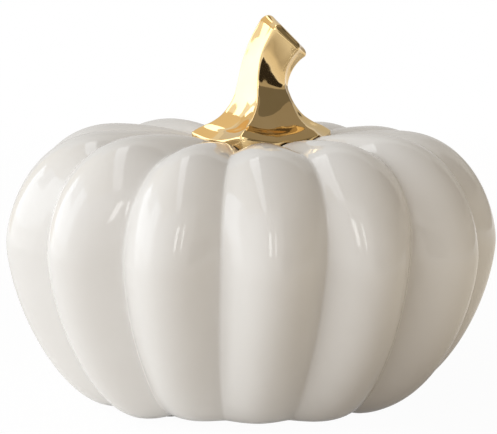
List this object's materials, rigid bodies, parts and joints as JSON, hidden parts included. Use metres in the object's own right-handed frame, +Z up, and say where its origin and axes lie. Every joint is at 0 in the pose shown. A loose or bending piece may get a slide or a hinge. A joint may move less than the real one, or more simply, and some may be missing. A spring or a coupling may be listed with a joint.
{
  "type": "pumpkin figure",
  "caption": "Free-standing ribbed pumpkin figure: hollow white glazed ceramic body with rounded irregular lobes, and a hooked, ridged gold stem seated in the crown.",
  "frame": {"origin": "on the surface the figure stands on, under the middle of the body", "axes": "+Z up the body's axis; front towards -Y; the stem's cut end leans towards +X"},
  "size_m": [0.1579, 0.1586, 0.1249],
  "materials": {
    "white_glaze": "gloss",
    "gold_lustre": "polished",
    "clear_bond": "gloss",
    "grey_felt": "matte"
  },
  "bodies": {
    "root": {"body_shell": "white_glaze", "stem": "gold_lustre", "stem_bond": "clear_bond", "pad_1": "grey_felt", "pad_2": "grey_felt", "pad_3": "grey_felt", "pad_4": "grey_felt"}
  },
  "joints": []
}
